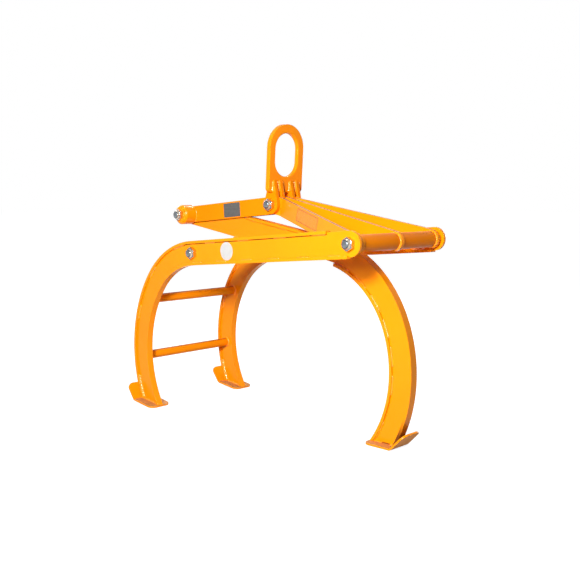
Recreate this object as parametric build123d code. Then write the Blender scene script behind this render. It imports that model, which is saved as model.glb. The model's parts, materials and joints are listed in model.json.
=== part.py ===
from build123d import *
import math
import os

# Rock grapple: a left tong with two legs, a right tong with one leg, two links and a lifting eye.
# Millimetres, X along the opening, Y across the legs, Z up. The feet stand on Z = 0.

# Scissor linkage, drawn fully open
left_link_length = 400.0
right_link_length = 407.0
pivot_height = 496.5
left_pivot_tilt = 4.8
right_pivot_tilt = 12.6
pin_diameter = 20.0
shaft_diameter = 30.0
running_clearance = 0.05
side_clearance = 0.5
fork_clearance = 1.0

# Arms: a web plate with a flat strip along each edge
left_bar_tilt = 4.8
right_arm_tilt = 9.1
right_pivot_drop = 3.6
arm_depth = 70.0
strip_thickness = 8.0
left_web_thickness = 8.0
right_web_thickness = 12.0
left_strip_width = 20.0
right_strip_width = 24.0
left_knee = 591.0
left_knee_radius = 255.0
left_knee_angle = 48.0
right_knee = 582.5
right_knee_radius = 292.0
right_knee_angle = 60.0
leg_radius = 346.0
leg_angle = 120.0
leg_spacing = 346.0
left_end_radius = 31.5
left_top_strip_start = 70.0
left_bottom_strip_start = 7.0
right_top_strip_start = 268.0
right_bottom_strip_start = 611.0
right_end_radius = 28.5
right_taper_length = 150.0
hub_belly_radius = 37.0

# Feet: a sole bent up into an outer flap
foot_width = 75.0
foot_thickness = 5.0
left_sole_length = 90.0
right_sole_length = 86.5
left_sole_overhang = 2.5
right_sole_overhang = 2.0
left_flap_length = 56.0
right_flap_length = 61.0
flap_angle = 45.5
foot_bend_radius = 8.0
foot_corner_radius = 18.0
left_foot_tilt = 7.0

# Tubes and rungs across the left tong
cross_tube_diameter = 42.4
stop_tube_diameter = 48.3
rung_diameter = 26.9
upper_rung_angle = 58.0
lower_rung_angle = 89.0
stop_pad_thickness = 14.0
stop_pad_length = 34.0
stop_gap = 0.3

# Links
left_link_depth = 50.0
left_link_thickness = 8.0
front_boss_diameter = 60.0
back_boss_diameter = 50.0
boss_length = 41.0
boss_chamfer = 5.0
right_link_depth = 50.0
right_plate_thickness = 10.0
right_link_bend_radius = 12.0
right_link_bend_margin = 5.0
fan_clearance = 2.0
trim_margin = 1.0

# Lifting eye
eye_width = 131.0
eye_thickness = 14.0
eye_top_height = 224.0
eye_bottom_height = 35.0
eye_corner_radius = 12.0
slot_width = 87.0
slot_height = 120.0
slot_bottom_height = 79.0
slot_chamfer = 2.5
eye_tilt = 3.5
lug_thickness = 11.5
lug_radius = 26.0
lug_top_height = 69.0
lug_top_lip = 2.0

# Fasteners
nut_flats = 30.0
nut_height = 13.0
nut_face_radius = 14.2
nut_bevel_angle = 30.0
collar_height = 5.0
collar_radius = 13.2
collar_top_radius = 11.2
stud_end = 0.8
stud_chamfer = 1.5


def direction(angle):
    return Vector(math.cos(math.radians(angle)), 0, math.sin(math.radians(angle)))


# Pivot points, the scissor pivot first; the four pivots make a parallelogram
scissor = Vector(0, 0, pivot_height)
right_pivot = scissor + direction(left_pivot_tilt) * left_link_length
left_pivot = scissor + direction(180 - right_pivot_tilt) * right_link_length
eye_pivot = left_pivot + right_pivot - scissor

half_depth = arm_depth / 2
web_edge = half_depth - strip_thickness
half_spacing = leg_spacing / 2
web_gap = half_spacing - left_web_thickness / 2
pin_radius = pin_diameter / 2
pin_bore = pin_radius + running_clearance
hub_bore = shaft_diameter / 2 + running_clearance


def arm_plane(origin, tilt, mirrored):
    # Local x runs from the eye end to the knee, local y points out of the curve
    if mirrored:
        return Plane(origin, x_dir=direction(180 + tilt), z_dir=(0, 1, 0))
    return Plane(origin, x_dir=direction(-tilt), z_dir=(0, -1, 0))


def flat(plane, point):
    local = plane.to_local_coords(point)
    return Vector(local.X, local.Y, 0)


def at_side(plane, y):
    return Plane(plane.origin + Vector(0, y, 0), x_dir=plane.x_dir, z_dir=plane.z_dir)


left_plane = arm_plane(right_pivot, left_bar_tilt, True)
right_origin = left_pivot + direction(90 - right_arm_tilt) * right_pivot_drop
right_plane = arm_plane(right_origin, right_arm_tilt, False)


# Each arm curve: distance of the knee from the eye end, radius of the knee and angle it turns
left_curve = (left_knee, left_knee_radius, left_knee_angle)
right_curve = (right_knee, right_knee_radius, right_knee_angle)


def curve_centres(curve):
    knee, knee_radius, knee_angle = curve
    first = Vector(knee, -knee_radius, 0)
    angle = math.radians(90 - knee_angle)
    second = first + Vector(math.cos(angle), math.sin(angle), 0) * (knee_radius - leg_radius)
    return first, second


def leg_point(curve, angle):
    # Middle of the leg on its second arc, the angle counted from the start of the knee
    second = curve_centres(curve)[1]
    turned = math.radians(90 - angle)
    return second + Vector(math.cos(turned), math.sin(turned), 0) * leg_radius


def edge_path(curve, start, offset):
    knee, knee_radius, knee_angle = curve
    first, second = curve_centres(curve)
    straight = Line((start, offset), (knee, offset))
    upper = CenterArc(first, knee_radius + offset, 90, -knee_angle)
    lower = CenterArc(second, leg_radius + offset, 90 - knee_angle, -leg_angle)
    return [straight, upper, lower]


def arm_band(curve, low, high, start):
    top = edge_path(curve, start, high)
    bottom = edge_path(curve, start, low)
    head = Line((start, low), (start, high))
    tail = Line(bottom[-1] @ 1, top[-1] @ 1)
    return make_face(top + bottom + [head, tail])


def strip_face(curve, start, edge):
    # Flat strip along the outer edge, 1, or the inner edge, -1, with nothing before its start
    low, high = sorted((edge * web_edge, edge * half_depth))
    band = arm_band(curve, low, high, min(start, 0))
    reach = 4 * left_link_length
    return band - Pos(start - reach / 2, 0) * Rectangle(reach, reach)


def miter(path, distance):
    shifted = []
    for index, point in enumerate(path):
        before = path[max(index - 1, 0)]
        after = path[min(index + 1, len(path) - 1)]
        along_in = (point - before) if index > 0 else (after - point)
        along_out = (after - point) if index < len(path) - 1 else (point - before)
        normal_in = along_in.normalized().rotate(Axis.Z, 90)
        normal_out = along_out.normalized().rotate(Axis.Z, 90)
        middle = (normal_in + normal_out).normalized()
        shifted.append(point + middle * (distance / middle.dot(normal_in)))
    return shifted


def bent_strip(path, thickness, radius):
    # Flat bar bent along a path of straight legs
    left = miter(path, thickness / 2)
    right = miter(path, -thickness / 2)
    face = make_face(Polyline(left + right[::-1], close=True))
    for index in range(1, len(path) - 1):
        turn = (path[index] - path[index - 1]).cross(path[index + 1] - path[index])
        inside = left[index] if turn.Z > 0 else right[index]
        outside = right[index] if turn.Z > 0 else left[index]
        face = fillet(face.vertices().sort_by_distance(inside)[0], radius)
        face = fillet(face.vertices().sort_by_distance(outside)[0], radius + thickness)
    return face


def rod(point, radius, y_start, y_end):
    length = y_end - y_start
    base = Plane(Vector(point.X, y_start, point.Z), x_dir=(1, 0, 0), z_dir=(0, 1, 0))
    return extrude(base * Circle(radius), amount=length)


def tube(point, outer, inner, y_start, y_end):
    return rod(point, outer, y_start, y_end) - rod(point, inner, y_start, y_end)


def stud(point, half_length):
    body = rod(point, pin_radius, -half_length, half_length)
    ends = body.edges().filter_by(GeomType.CIRCLE)
    return chamfer(ends, stud_chamfer)


def nut(point, y_seat, facing):
    # Hexagon lock nut with a round collar, standing on the face at y_seat and facing along -Y or +Y
    base = Plane(Vector(point.X, y_seat, point.Z), x_dir=(1, 0, 0), z_dir=(0, facing, 0))
    hexagon = RegularPolygon(nut_flats / 2, 6, major_radius=False, rotation=30) - Circle(pin_bore)
    body = extrude(base * hexagon, amount=nut_height)
    spread = nut_height / math.tan(math.radians(nut_bevel_angle))
    bevel = Cone(nut_face_radius + spread, nut_face_radius, nut_height)
    body = body & (base.location * Pos(0, 0, nut_height / 2) * bevel)
    collar = Cone(collar_radius, collar_top_radius, collar_height) - Cylinder(pin_bore, collar_height)
    return body + base.location * Pos(0, 0, nut_height + collar_height / 2) * collar


def nut_pair(point, y_seat):
    return Compound([nut(point, -y_seat, -1).solid(), nut(point, y_seat, 1).solid()])


def stud_half(y_seat):
    return y_seat + nut_height + collar_height + stud_end


# Feet
flap_turn = math.radians(flap_angle)
foot_inside = foot_thickness * math.tan(flap_turn / 2)


def foot_plane(plane, curve, tilt, overhang, outward):
    # The sole's inner end lies just inside the leg's inner edge, on the ground
    centre = plane.from_local_coords(curve_centres(curve)[1])
    inner = leg_radius - half_depth
    drop = centre.Z - foot_thickness
    reach = math.sqrt(max(inner ** 2 - drop ** 2, 1.0))
    start = Vector(centre.X + outward * (reach - overhang), 0, 0)
    x_dir = Vector(outward * math.cos(math.radians(tilt)), 0, math.sin(math.radians(tilt)))
    return Plane(start, x_dir=x_dir, z_dir=(0, -outward, 0))


def foot_plate(plane, sole_length, flap_length, y):
    corner = Vector(sole_length, foot_thickness / 2, 0)
    tip = corner + Vector(math.cos(flap_turn), math.sin(flap_turn), 0) * flap_length
    path = [Vector(0, foot_thickness / 2, 0), corner, tip]
    profile = bent_strip(path, foot_thickness, foot_bend_radius)
    body = extrude(at_side(plane, y) * profile, amount=foot_width / 2, both=True)
    corners = body.edges().filter_by(lambda edge: abs(edge.length - foot_thickness) < 0.001)
    return fillet(corners, foot_corner_radius)


def above_foot(plane, sole_length):
    # Space on the inner side of the sole and the flap
    reach = 4 * left_link_length
    bend = Vector(sole_length - foot_inside / 2, foot_thickness, 0)
    rise = bend + Vector(math.cos(flap_turn), math.sin(flap_turn), 0) * reach
    outline = [Vector(-reach, foot_thickness, 0), bend, rise, Vector(-reach, rise.Y, 0)]
    face = make_face(Polyline(outline, close=True))
    face = fillet(face.vertices().sort_by_distance(bend)[0], foot_bend_radius)
    return extrude(plane * face, amount=leg_spacing, both=True)


left_foot_plane = foot_plane(left_plane, left_curve, left_foot_tilt, left_sole_overhang, -1)
right_foot_plane = foot_plane(right_plane, right_curve, 0.0, right_sole_overhang, 1)
left_keep = above_foot(left_foot_plane, left_sole_length)
right_keep = above_foot(right_foot_plane, right_sole_length)


def plate(plane, y, face, thickness):
    return extrude(at_side(plane, y) * face, amount=thickness / 2, both=True)


# Opening stop: the tube sits on the left bar where it meets the pad under the right arm
right_up = direction(90 - right_arm_tilt)
left_along = direction(180 + left_bar_tilt)
stop_reach = half_depth + stop_pad_thickness + stop_gap + stop_tube_diameter / 2
stop_start = (right_origin - right_pivot).dot(right_up)
stop_distance = (stop_reach - stop_start) / (-left_along.dot(right_up))
stop = right_pivot + left_along * stop_distance

# Left tong
left_web_face = arm_band(left_curve, -web_edge, web_edge, 0)
eye_end = Circle(left_end_radius)
eye_end_top = Rectangle(left_top_strip_start, left_end_radius)
eye_end += Pos(left_top_strip_start / 2, left_end_radius / 2) * eye_end_top
left_outer_face = strip_face(left_curve, left_top_strip_start, 1)
left_inner_face = strip_face(left_curve, left_bottom_strip_start, -1)
left_web_face = left_web_face + eye_end - left_inner_face

parts = {}
for side, y in (("front", -half_spacing), ("back", half_spacing)):
    web = plate(left_plane, y, left_web_face, left_web_thickness) & left_keep
    for point in (right_pivot, stop):
        web -= rod(point, pin_bore, y - left_web_thickness, y + left_web_thickness)
    parts["left_" + side + "_web"] = web
    for edge, face in (("outer", left_outer_face), ("inner", left_inner_face)):
        strip = plate(left_plane, y, face, left_strip_width) & left_keep
        parts["left_" + side + "_" + edge + "_strip"] = strip
    parts["left_" + side + "_foot"] = foot_plate(left_foot_plane, left_sole_length, left_flap_length, y)

for name, angle in (("upper_rung", upper_rung_angle), ("lower_rung", lower_rung_angle)):
    centre = left_plane.from_local_coords(leg_point(left_curve, angle))
    parts[name] = rod(centre, rung_diameter / 2, -web_gap, web_gap)

outer_seat = half_spacing + left_web_thickness / 2
parts["scissor_shaft"] = rod(scissor, shaft_diameter / 2, -web_gap, web_gap)
parts["stop_tube"] = tube(stop, stop_tube_diameter / 2, pin_bore, -web_gap, web_gap)
parts["stop_stud"] = stud(stop, stud_half(outer_seat))
parts["stop_nuts"] = nut_pair(stop, outer_seat)
parts["right_pivot_stud"] = stud(right_pivot, stud_half(outer_seat))
parts["right_pivot_nuts"] = nut_pair(right_pivot, outer_seat)

# Right tong
hub_radius = cross_tube_diameter / 2
hub_centre = flat(right_plane, scissor)
pivot_centre = flat(right_plane, left_pivot)
right_end_centre = Pos(0, right_end_radius - half_depth)
head_top = 2 * right_end_radius - half_depth
head_corners = [
    (0, -half_depth),
    (right_taper_length, -half_depth),
    (hub_centre.X, -half_depth),
    (hub_centre.X + hub_belly_radius, -web_edge),
    (right_taper_length, web_edge),
    (0, head_top),
]
right_web_face = arm_band(right_curve, -web_edge, web_edge, right_taper_length)
right_web_face += make_face(Polyline(head_corners, close=True))
right_web_face += right_end_centre * Circle(right_end_radius)
right_web_face += Pos(hub_centre) * Circle(hub_belly_radius)
right_web_face -= Pos(hub_centre) * Circle(hub_radius)
right_web_face -= Pos(pivot_centre) * Circle(pin_bore)
right_outer_face = strip_face(right_curve, right_top_strip_start, 1)
right_inner_face = strip_face(right_curve, right_bottom_strip_start, -1)
parts["right_web"] = plate(right_plane, 0, right_web_face, right_web_thickness) & right_keep
parts["right_outer_strip"] = plate(right_plane, 0, right_outer_face, right_strip_width) & right_keep
parts["right_inner_strip"] = plate(right_plane, 0, right_inner_face, right_strip_width) & right_keep
parts["right_foot"] = foot_plate(right_foot_plane, right_sole_length, right_flap_length, 0)
hub_half = web_gap - side_clearance
parts["scissor_hub"] = tube(scissor, hub_radius, hub_bore, -hub_half, hub_half)
pad_centre = flat(right_plane, stop).X
pad_face = Rectangle(stop_pad_length, stop_pad_thickness)
pad_face = Pos(pad_centre, -half_depth - stop_pad_thickness / 2) * pad_face
parts["stop_pad"] = plate(right_plane, 0, pad_face, right_strip_width)

# Left link
left_link_inner = right_web_thickness / 2 + side_clearance
left_link_outer = left_link_inner + left_link_thickness
left_link_plane = Plane(left_pivot, x_dir=direction(left_pivot_tilt), z_dir=(0, -1, 0))
link_bar = Pos(left_link_length / 2, 0) * SlotCenterToCenter(left_link_length, left_link_depth)
left_link_face = link_bar - Circle(pin_bore) - Pos(left_link_length, 0) * Circle(pin_bore)
boss_end = left_link_outer + boss_length
for side, sign, diameter in (("front", -1, front_boss_diameter), ("back", 1, back_boss_diameter)):
    y = sign * (left_link_inner + left_link_outer) / 2
    parts["left_link_" + side + "_plate"] = plate(left_link_plane, y, left_link_face, left_link_thickness)
    low, high = sorted((sign * left_link_outer, sign * boss_end))
    boss = rod(left_pivot, diameter / 2, low, high)
    rim = boss.edges().filter_by(GeomType.CIRCLE).sort_by(Axis.Y)[0 if sign < 0 else -1]
    boss = chamfer(rim, boss_chamfer) - rod(left_pivot, pin_bore, low, high)
    parts["left_link_" + side + "_boss"] = boss
parts["left_pivot_stud"] = stud(left_pivot, stud_half(boss_end))
parts["left_pivot_nuts"] = nut_pair(left_pivot, boss_end)

# Lifting eye: four lugs on a pin, two either side of the link plates
inner_lug_near = left_link_outer + side_clearance
inner_lug_far = inner_lug_near + lug_thickness
outer_lug_near = inner_lug_far + right_plate_thickness + 2 * fork_clearance
outer_lug_far = outer_lug_near + lug_thickness
eye_side = Plane(eye_pivot, x_dir=direction(-eye_tilt), z_dir=(0, -1, 0))
lug_top = eye_thickness / 2 + lug_top_lip
lug_shoulder = Line((-lug_top, lug_top_height), (lug_top, lug_top_height))
lug_face = make_hull(Circle(lug_radius).edges() + [lug_shoulder])
lug_notch = Pos(0, eye_bottom_height + lug_top_height) * Rectangle(eye_thickness, 2 * lug_top_height)
lug_face = lug_face - lug_notch - Circle(pin_bore)
lug_middle = (inner_lug_near + inner_lug_far) / 2
lug_outside = (outer_lug_near + outer_lug_far) / 2
for name, y in (("front_outer_lug", -lug_outside), ("front_inner_lug", -lug_middle),
                ("back_inner_lug", lug_middle), ("back_outer_lug", lug_outside)):
    parts[name] = plate(eye_side, y, lug_face, lug_thickness)

eye_front = Plane(eye_pivot, x_dir=(0, 1, 0), z_dir=direction(-eye_tilt))
eye_radius = eye_width / 2
shoulder = eye_top_height - eye_radius
eye_face = Pos(0, (shoulder + eye_bottom_height) / 2) * Rectangle(eye_width, shoulder - eye_bottom_height)
eye_face = fillet(eye_face.vertices().group_by(Axis.Y)[0], eye_corner_radius)
eye_face = eye_face + Pos(0, shoulder) * Circle(eye_radius)
slot_centre = slot_bottom_height + slot_height / 2
slot = Pos(0, slot_centre) * SlotOverall(slot_height, slot_width, rotation=90)
eye_body = extrude(eye_front * (eye_face - slot), amount=eye_thickness / 2, both=True)
slot_wires = [wire for face in eye_body.faces() for wire in face.inner_wires()]
slot_edges = [edge for wire in slot_wires for edge in wire.edges()]
parts["eye_plate"] = chamfer(slot_edges, slot_chamfer)
parts["eye_pin"] = stud(eye_pivot, stud_half(outer_lug_far))
parts["eye_pin_nuts"] = nut_pair(eye_pivot, outer_lug_far)

# Right link: three plates fanning out to the cross tube
right_link_plane = Plane(eye_pivot, x_dir=direction(-right_pivot_tilt), z_dir=(0, -1, 0))
end_radius = right_link_depth / 2
link_outline = Pos(right_link_length / 2, 0) * SlotCenterToCenter(right_link_length, right_link_depth)
link_outline = link_outline - Circle(pin_bore) - Pos(right_link_length, 0) * Circle(hub_radius)
parts["right_link_middle_plate"] = plate(right_link_plane, 0, link_outline, right_web_thickness)
fan_inner = inner_lug_far + fork_clearance + right_plate_thickness / 2
fan_outer = half_spacing - left_strip_width / 2 - fan_clearance - right_plate_thickness / 2
fan_start = lug_radius + right_link_bend_margin
fan_end = right_link_length - end_radius - right_link_bend_margin
link_plan = Plane(eye_pivot, x_dir=direction(-right_pivot_tilt), z_dir=direction(90 - right_pivot_tilt))
outline_body = extrude(at_side(right_link_plane, 0) * link_outline, amount=leg_spacing, both=True)
for side, sign in (("front", -1), ("back", 1)):
    fan_path = [
        Vector(-end_radius - trim_margin, sign * fan_inner, 0),
        Vector(fan_start, sign * fan_inner, 0),
        Vector(fan_end, sign * fan_outer, 0),
        Vector(right_link_length + end_radius + trim_margin, sign * fan_outer, 0),
    ]
    band = bent_strip(fan_path, right_plate_thickness, right_link_bend_radius)
    blank = extrude(link_plan * band, amount=right_link_depth, both=True)
    parts["right_link_" + side + "_plate"] = blank & outline_body
cross_half = web_gap - side_clearance
parts["right_link_cross_tube"] = tube(right_pivot, hub_radius, pin_bore, -cross_half, cross_half)

# Put the origin under the middle of the whole grapple and write one file per piece
whole = Compound([solid for part in parts.values() for solid in part.solids()]).bounding_box()
centre_x = (whole.min.X + whole.max.X) / 2
os.makedirs("parts", exist_ok=True)
for name, part in parts.items():
    moved = Pos(-centre_x, 0, -whole.min.Z) * part
    moved.label = name
    export_step(moved, os.path.join("parts", name + ".step"))
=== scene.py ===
import bpy
import json
import math
from collections import namedtuple
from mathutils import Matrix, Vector

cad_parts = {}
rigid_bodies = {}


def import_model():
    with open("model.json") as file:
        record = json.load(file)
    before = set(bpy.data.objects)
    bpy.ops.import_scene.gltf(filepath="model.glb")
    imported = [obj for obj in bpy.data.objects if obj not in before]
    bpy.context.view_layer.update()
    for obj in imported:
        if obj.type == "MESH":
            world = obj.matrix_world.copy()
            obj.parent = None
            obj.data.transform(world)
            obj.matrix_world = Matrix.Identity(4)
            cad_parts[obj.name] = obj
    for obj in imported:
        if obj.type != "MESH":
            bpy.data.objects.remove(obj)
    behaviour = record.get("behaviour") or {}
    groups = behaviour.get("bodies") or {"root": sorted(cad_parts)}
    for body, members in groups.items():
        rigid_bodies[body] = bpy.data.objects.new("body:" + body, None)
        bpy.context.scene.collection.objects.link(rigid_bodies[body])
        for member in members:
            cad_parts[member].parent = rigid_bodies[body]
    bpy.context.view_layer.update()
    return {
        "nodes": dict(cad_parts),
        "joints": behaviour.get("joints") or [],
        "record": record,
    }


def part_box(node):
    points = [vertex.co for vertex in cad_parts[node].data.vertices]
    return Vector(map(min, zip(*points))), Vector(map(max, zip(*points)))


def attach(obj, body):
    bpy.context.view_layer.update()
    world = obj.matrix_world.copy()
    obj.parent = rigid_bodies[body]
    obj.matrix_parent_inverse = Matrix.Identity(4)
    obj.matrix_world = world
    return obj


for leftover in list(bpy.data.objects):
    bpy.data.objects.remove(leftover)
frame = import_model()
nodes = frame["nodes"]
record = frame["record"]
scene = bpy.context.scene
scene.view_settings.view_transform = "Standard"

# Pivot points, each named after the body that turns on it, and the mounts with the flat soles
pivots = {joint["child"]: Vector(joint["pos_m"]) for joint in frame["joints"]}
scissor = pivots["right_tong"]
right_pivot = pivots["right_link"]
left_pivot = pivots["left_link"]
eye_pivot = pivots["lifting_eye"]
mounts = {mount["name"]: mount for mount in record["mounts"]}
ACROSS = Vector((0, 1, 0))


def direction(angle):
    # Unit vector in the X-Z plane, the angle counted from +X towards +Z
    return Vector((math.cos(math.radians(angle)), 0, math.sin(math.radians(angle))))


def tilt(start, stop):
    # Angle of the line from one pivot to another, counted in the same way
    gap = stop - start
    return math.degrees(math.atan2(gap.z, gap.x))


def middle_of(node):
    # Centre of a solid's box and half its size
    low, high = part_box(node)
    return (low + high) / 2, (high - low) / 2


def faces_of(node):
    # Places along Y of a plate's front and back face, each with the side that it looks to
    low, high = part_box(node)
    return (low.y, -1), (high.y, 1)


def face_of(node, side):
    # Place along Y of a plate's front face, side -1, or back face, side 1
    return next(place for place, away in faces_of(node) if away == side)


def body_of(node):
    return next(name for name, members in record["behaviour"]["bodies"].items() if node in members)


# Camera: place from the scissor pivot in metres, aim in degrees, lens and sensor in millimetres
CAMERA_OFFSET = Vector((1.6518, -1.6631, 0.1445))
CAMERA_HEADING = 134.304
CAMERA_PITCH = -6.473
CAMERA_LENS = 51.0
SENSOR_WIDTH = 36.0
CAMERA_REACH = 100.0


def aim(heading, pitch):
    # Unit vector of a view, the heading counted from +X towards +Y
    turn, tip = math.radians(heading), math.radians(pitch)
    flat = math.cos(tip)
    return Vector((math.cos(turn) * flat, math.sin(turn) * flat, math.sin(tip)))


def look_along(thing, view):
    # Turns a camera or a lamp to look along the view
    thing.rotation_mode = "QUATERNION"
    thing.rotation_quaternion = view.to_track_quat("-Z", "Y")


camera = bpy.data.objects.new("camera", bpy.data.cameras.new("camera"))
camera.location = scissor + CAMERA_OFFSET
look_along(camera, aim(CAMERA_HEADING, CAMERA_PITCH))
camera.data.lens = CAMERA_LENS
camera.data.sensor_width = SENSOR_WIDTH
camera.data.clip_end = CAMERA_REACH
scene.collection.objects.link(camera)
scene.camera = camera

# Sockets of the colour mix: factor, first and second colour, and the mixed colour
MIX_INPUTS = (0, 6, 7)
MIX_OUTPUT = 2
ROUNDING_SAMPLES = 8


class Tree:
    # Node tree of a material or of the world
    def __init__(self, name, owners=bpy.data.materials, output="ShaderNodeOutputMaterial"):
        self.owner = owners.new(name)
        self.owner.use_nodes = True
        self.tree = self.owner.node_tree
        self.tree.nodes.clear()
        self.output = self.add(output)

    def add(self, kind, **settings):
        node = self.tree.nodes.new(kind)
        for key, value in settings.items():
            setattr(node, key, value)
        return node

    def join(self, source, target):
        self.tree.links.new(source, target)

    def feed(self, socket, value):
        # A colour or a number is set on the socket itself, and an output of a node is joined to it
        if isinstance(value, tuple):
            socket.default_value = (*value, 1.0)
        elif isinstance(value, float):
            socket.default_value = value
        else:
            self.join(value, socket)

    def noise(self, vector, scale, detail=3.0, roughness=0.5):
        node = self.add("ShaderNodeTexNoise")
        node.inputs["Scale"].default_value = scale
        node.inputs["Detail"].default_value = detail
        node.inputs["Roughness"].default_value = roughness
        self.join(vector, node.inputs["Vector"])
        return node.outputs["Fac"]

    def stretched(self, vector, scale):
        node = self.add("ShaderNodeMapping")
        node.inputs["Scale"].default_value = scale
        self.join(vector, node.inputs["Vector"])
        return node.outputs["Vector"]

    def spread(self, value, low, high, start=0.3, end=0.7):
        # Runs from low to high as the value runs from start to end
        node = self.add("ShaderNodeMapRange")
        node.inputs["From Min"].default_value = start
        node.inputs["From Max"].default_value = end
        node.inputs["To Min"].default_value = low
        node.inputs["To Max"].default_value = high
        self.join(value, node.inputs["Value"])
        return node.outputs["Result"]

    def blend(self, factor, first, second):
        node = self.add("ShaderNodeMix", data_type="RGBA")
        for index, value in zip(MIX_INPUTS, (factor, first, second)):
            self.feed(node.inputs[index], value)
        return node.outputs[MIX_OUTPUT]

    def clouds(self, vector, first, second, scale, detail=4.0, roughness=0.6):
        # Noise, and the tone that it makes of two colours
        cloud = self.noise(vector, scale, detail, roughness)
        return cloud, self.blend(self.spread(cloud, low=0.0, high=1.0), first, second)

    def bump(self, height, strength, distance, normal=None):
        node = self.add("ShaderNodeBump")
        node.inputs["Strength"].default_value = strength
        node.inputs["Distance"].default_value = distance
        self.join(height, node.inputs["Height"])
        if normal is not None:
            self.join(normal, node.inputs["Normal"])
        return node.outputs["Normal"]

    def maths(self, operation, first, second):
        node = self.add("ShaderNodeMath", operation=operation)
        for socket, value in zip(node.inputs, (first, second)):
            self.feed(socket, value)
        return node.outputs[0]

    def rounded(self, radius):
        # Normal that rolls over each edge in an arc of that radius
        node = self.add("ShaderNodeBevel", samples=ROUNDING_SAMPLES)
        node.inputs["Radius"].default_value = radius
        return node.outputs["Normal"]

    def edge_mask(self, rounded):
        # Near 1 on an edge and 0 on a flat face
        geometry = self.add("ShaderNodeNewGeometry")
        dot = self.add("ShaderNodeVectorMath", operation="DOT_PRODUCT")
        self.join(rounded, dot.inputs[0])
        self.join(geometry.outputs["Normal"], dot.inputs[1])
        return self.spread(dot.outputs["Value"], low=1.0, high=0.0, start=0.80, end=0.995)

    def place(self):
        return self.add("ShaderNodeTexCoord").outputs["Object"]

    def part(self, vector, axis):
        # Share of a vector along X, Y or Z
        split = self.add("ShaderNodeSeparateXYZ")
        self.join(vector, split.inputs["Vector"])
        return split.outputs[axis]

    def facing(self, axis):
        # Share of the surface's own normal along X, Y or Z
        return self.part(self.add("ShaderNodeTexCoord").outputs["Normal"], axis)

    def hanging(self, rounded):
        # Near 1 on an edge or a face that looks down
        local = self.add("ShaderNodeVectorTransform", vector_type="NORMAL", convert_to="OBJECT")
        self.join(rounded, local.inputs["Vector"])
        upward = self.part(local.outputs["Vector"], "Z")
        return self.spread(upward, low=1.0, high=0.0, start=-0.6, end=-0.25)

    def height(self):
        # Height of the point on the standing grapple
        return self.part(self.place(), "Z")

    def seen(self):
        # 1 for a ray from the camera or from a glossy or clear surface
        path = self.add("ShaderNodeLightPath")
        direct = self.maths("MAXIMUM", path.outputs["Is Camera Ray"], path.outputs["Is Glossy Ray"])
        return self.maths("MAXIMUM", direct, path.outputs["Is Transmission Ray"])

    def surface(self, **sockets):
        shader = self.add("ShaderNodeBsdfPrincipled")
        for key, value in sockets.items():
            self.feed(shader.inputs[key.replace("_", " ")], value)
        self.join(shader.outputs["BSDF"], self.output.inputs["Surface"])
        return self.owner


# Colours of the finishes
PAINT = (1.0, 0.305, 0.002)
PAINT_DEEP = (0.93, 0.235, 0.002)
# Deep orange of painted shade, for the cross tube and the lugs
PAINT_DEEP_SHADE = (0.80, 0.195, 0.001)
PAINT_THIN = (1.0, 0.38, 0.008)
# Dark orange of painted shade, laid where shade or a dark reflection falls
PAINTED_SHADE = (0.07, 0.02, 0.0)
# Grey laid on the fan plates' top faces as a painted reflection
GREY_TOP_REFLECTION = (0.27, 0.215, 0.15)
SOLE_DUST = (0.46, 0.235, 0.088)
SOLE_GRIME = (0.34, 0.165, 0.056)
# Pale tone of dust and painted bounce light on the feet's faces that look down
FLAP_DUST_AND_BOUNCE = (1.0, 0.44, 0.13)
# Painted shade of the right outer strip, on its flat top and on its outer face
STRIP_TOP_SHADE = (0.86, 0.225, 0.0)
STRIP_FLANK_SHADE = (0.62, 0.18, 0.002)
# Zinc tones: dark on the ends and warm on the flanks, as painted reflections
ZINC_LIGHT = (0.27, 0.295, 0.31)
ZINC_DARK = (0.15, 0.165, 0.18)
ZINC_FLANK_REFLECTION = (0.60, 0.51, 0.39)
STEEL_LIGHT = (0.42, 0.43, 0.43)
STEEL_DARK = (0.26, 0.27, 0.27)
NYLON_LIGHT = (0.045, 0.050, 0.056)
NYLON_DARK = (0.022, 0.025, 0.030)
GREY_LIGHT = (0.125, 0.125, 0.120)
GREY_DARK = (0.085, 0.087, 0.085)
GREY_STAIN = (0.060, 0.060, 0.058)
VINYL_LIGHT = (0.54, 0.535, 0.52)
VINYL_DARK = (0.49, 0.48, 0.465)
FILM_LIGHT = (0.80, 0.260, 0.015)
FILM_DARK = (0.75, 0.238, 0.013)
LINE_LIGHT = (0.36, 0.100, 0.010)
LINE_DARK = (0.28, 0.075, 0.008)
# Dark tones of the painted shadow in the seams
SEAM_SHADOW_LIGHT = (0.30, 0.080, 0.003)
SEAM_SHADOW_DARK = (0.16, 0.040, 0.002)
FLOOR_LIGHT = (0.37, 0.37, 0.37)
FLOOR_DARK = (0.33, 0.33, 0.33)

# Shares and lengths of the paint, and the heights between which the painted shade fades above the right
# foot
PAINT_GLOSS = 0.11
PAINT_EDGE = 0.0012
PAINT_GRAIN = 0.03
PAINT_WANDER = 0.35
EDGE_THINNING = 0.55
STRIP_TOP_SHADING = 0.8
FOOT_SHADE_LOW = 0.035
FOOT_SHADE_HIGH = 0.085


def paint_tone(tree, place, rounded, thickest=PAINT_WANDER, deep=PAINT_DEEP):
    # Tone that deepens where the paint is thick and pales on the edges, and the fine mottle in it
    broad = tree.noise(place, scale=5.0, detail=2.0)
    mottle = tree.noise(place, scale=60.0, detail=4.0, roughness=0.6)
    thinnest = max(thickest - PAINT_WANDER, 0.0)
    tone = tree.blend(tree.spread(broad, low=thinnest, high=thickest), PAINT, deep)
    tone = tree.blend(tree.spread(mottle, low=0.0, high=0.12), tone, deep)
    edge = tree.maths("MULTIPLY", tree.edge_mask(rounded), EDGE_THINNING)
    return tree.blend(edge, tone, PAINT_THIN), mottle


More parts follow.
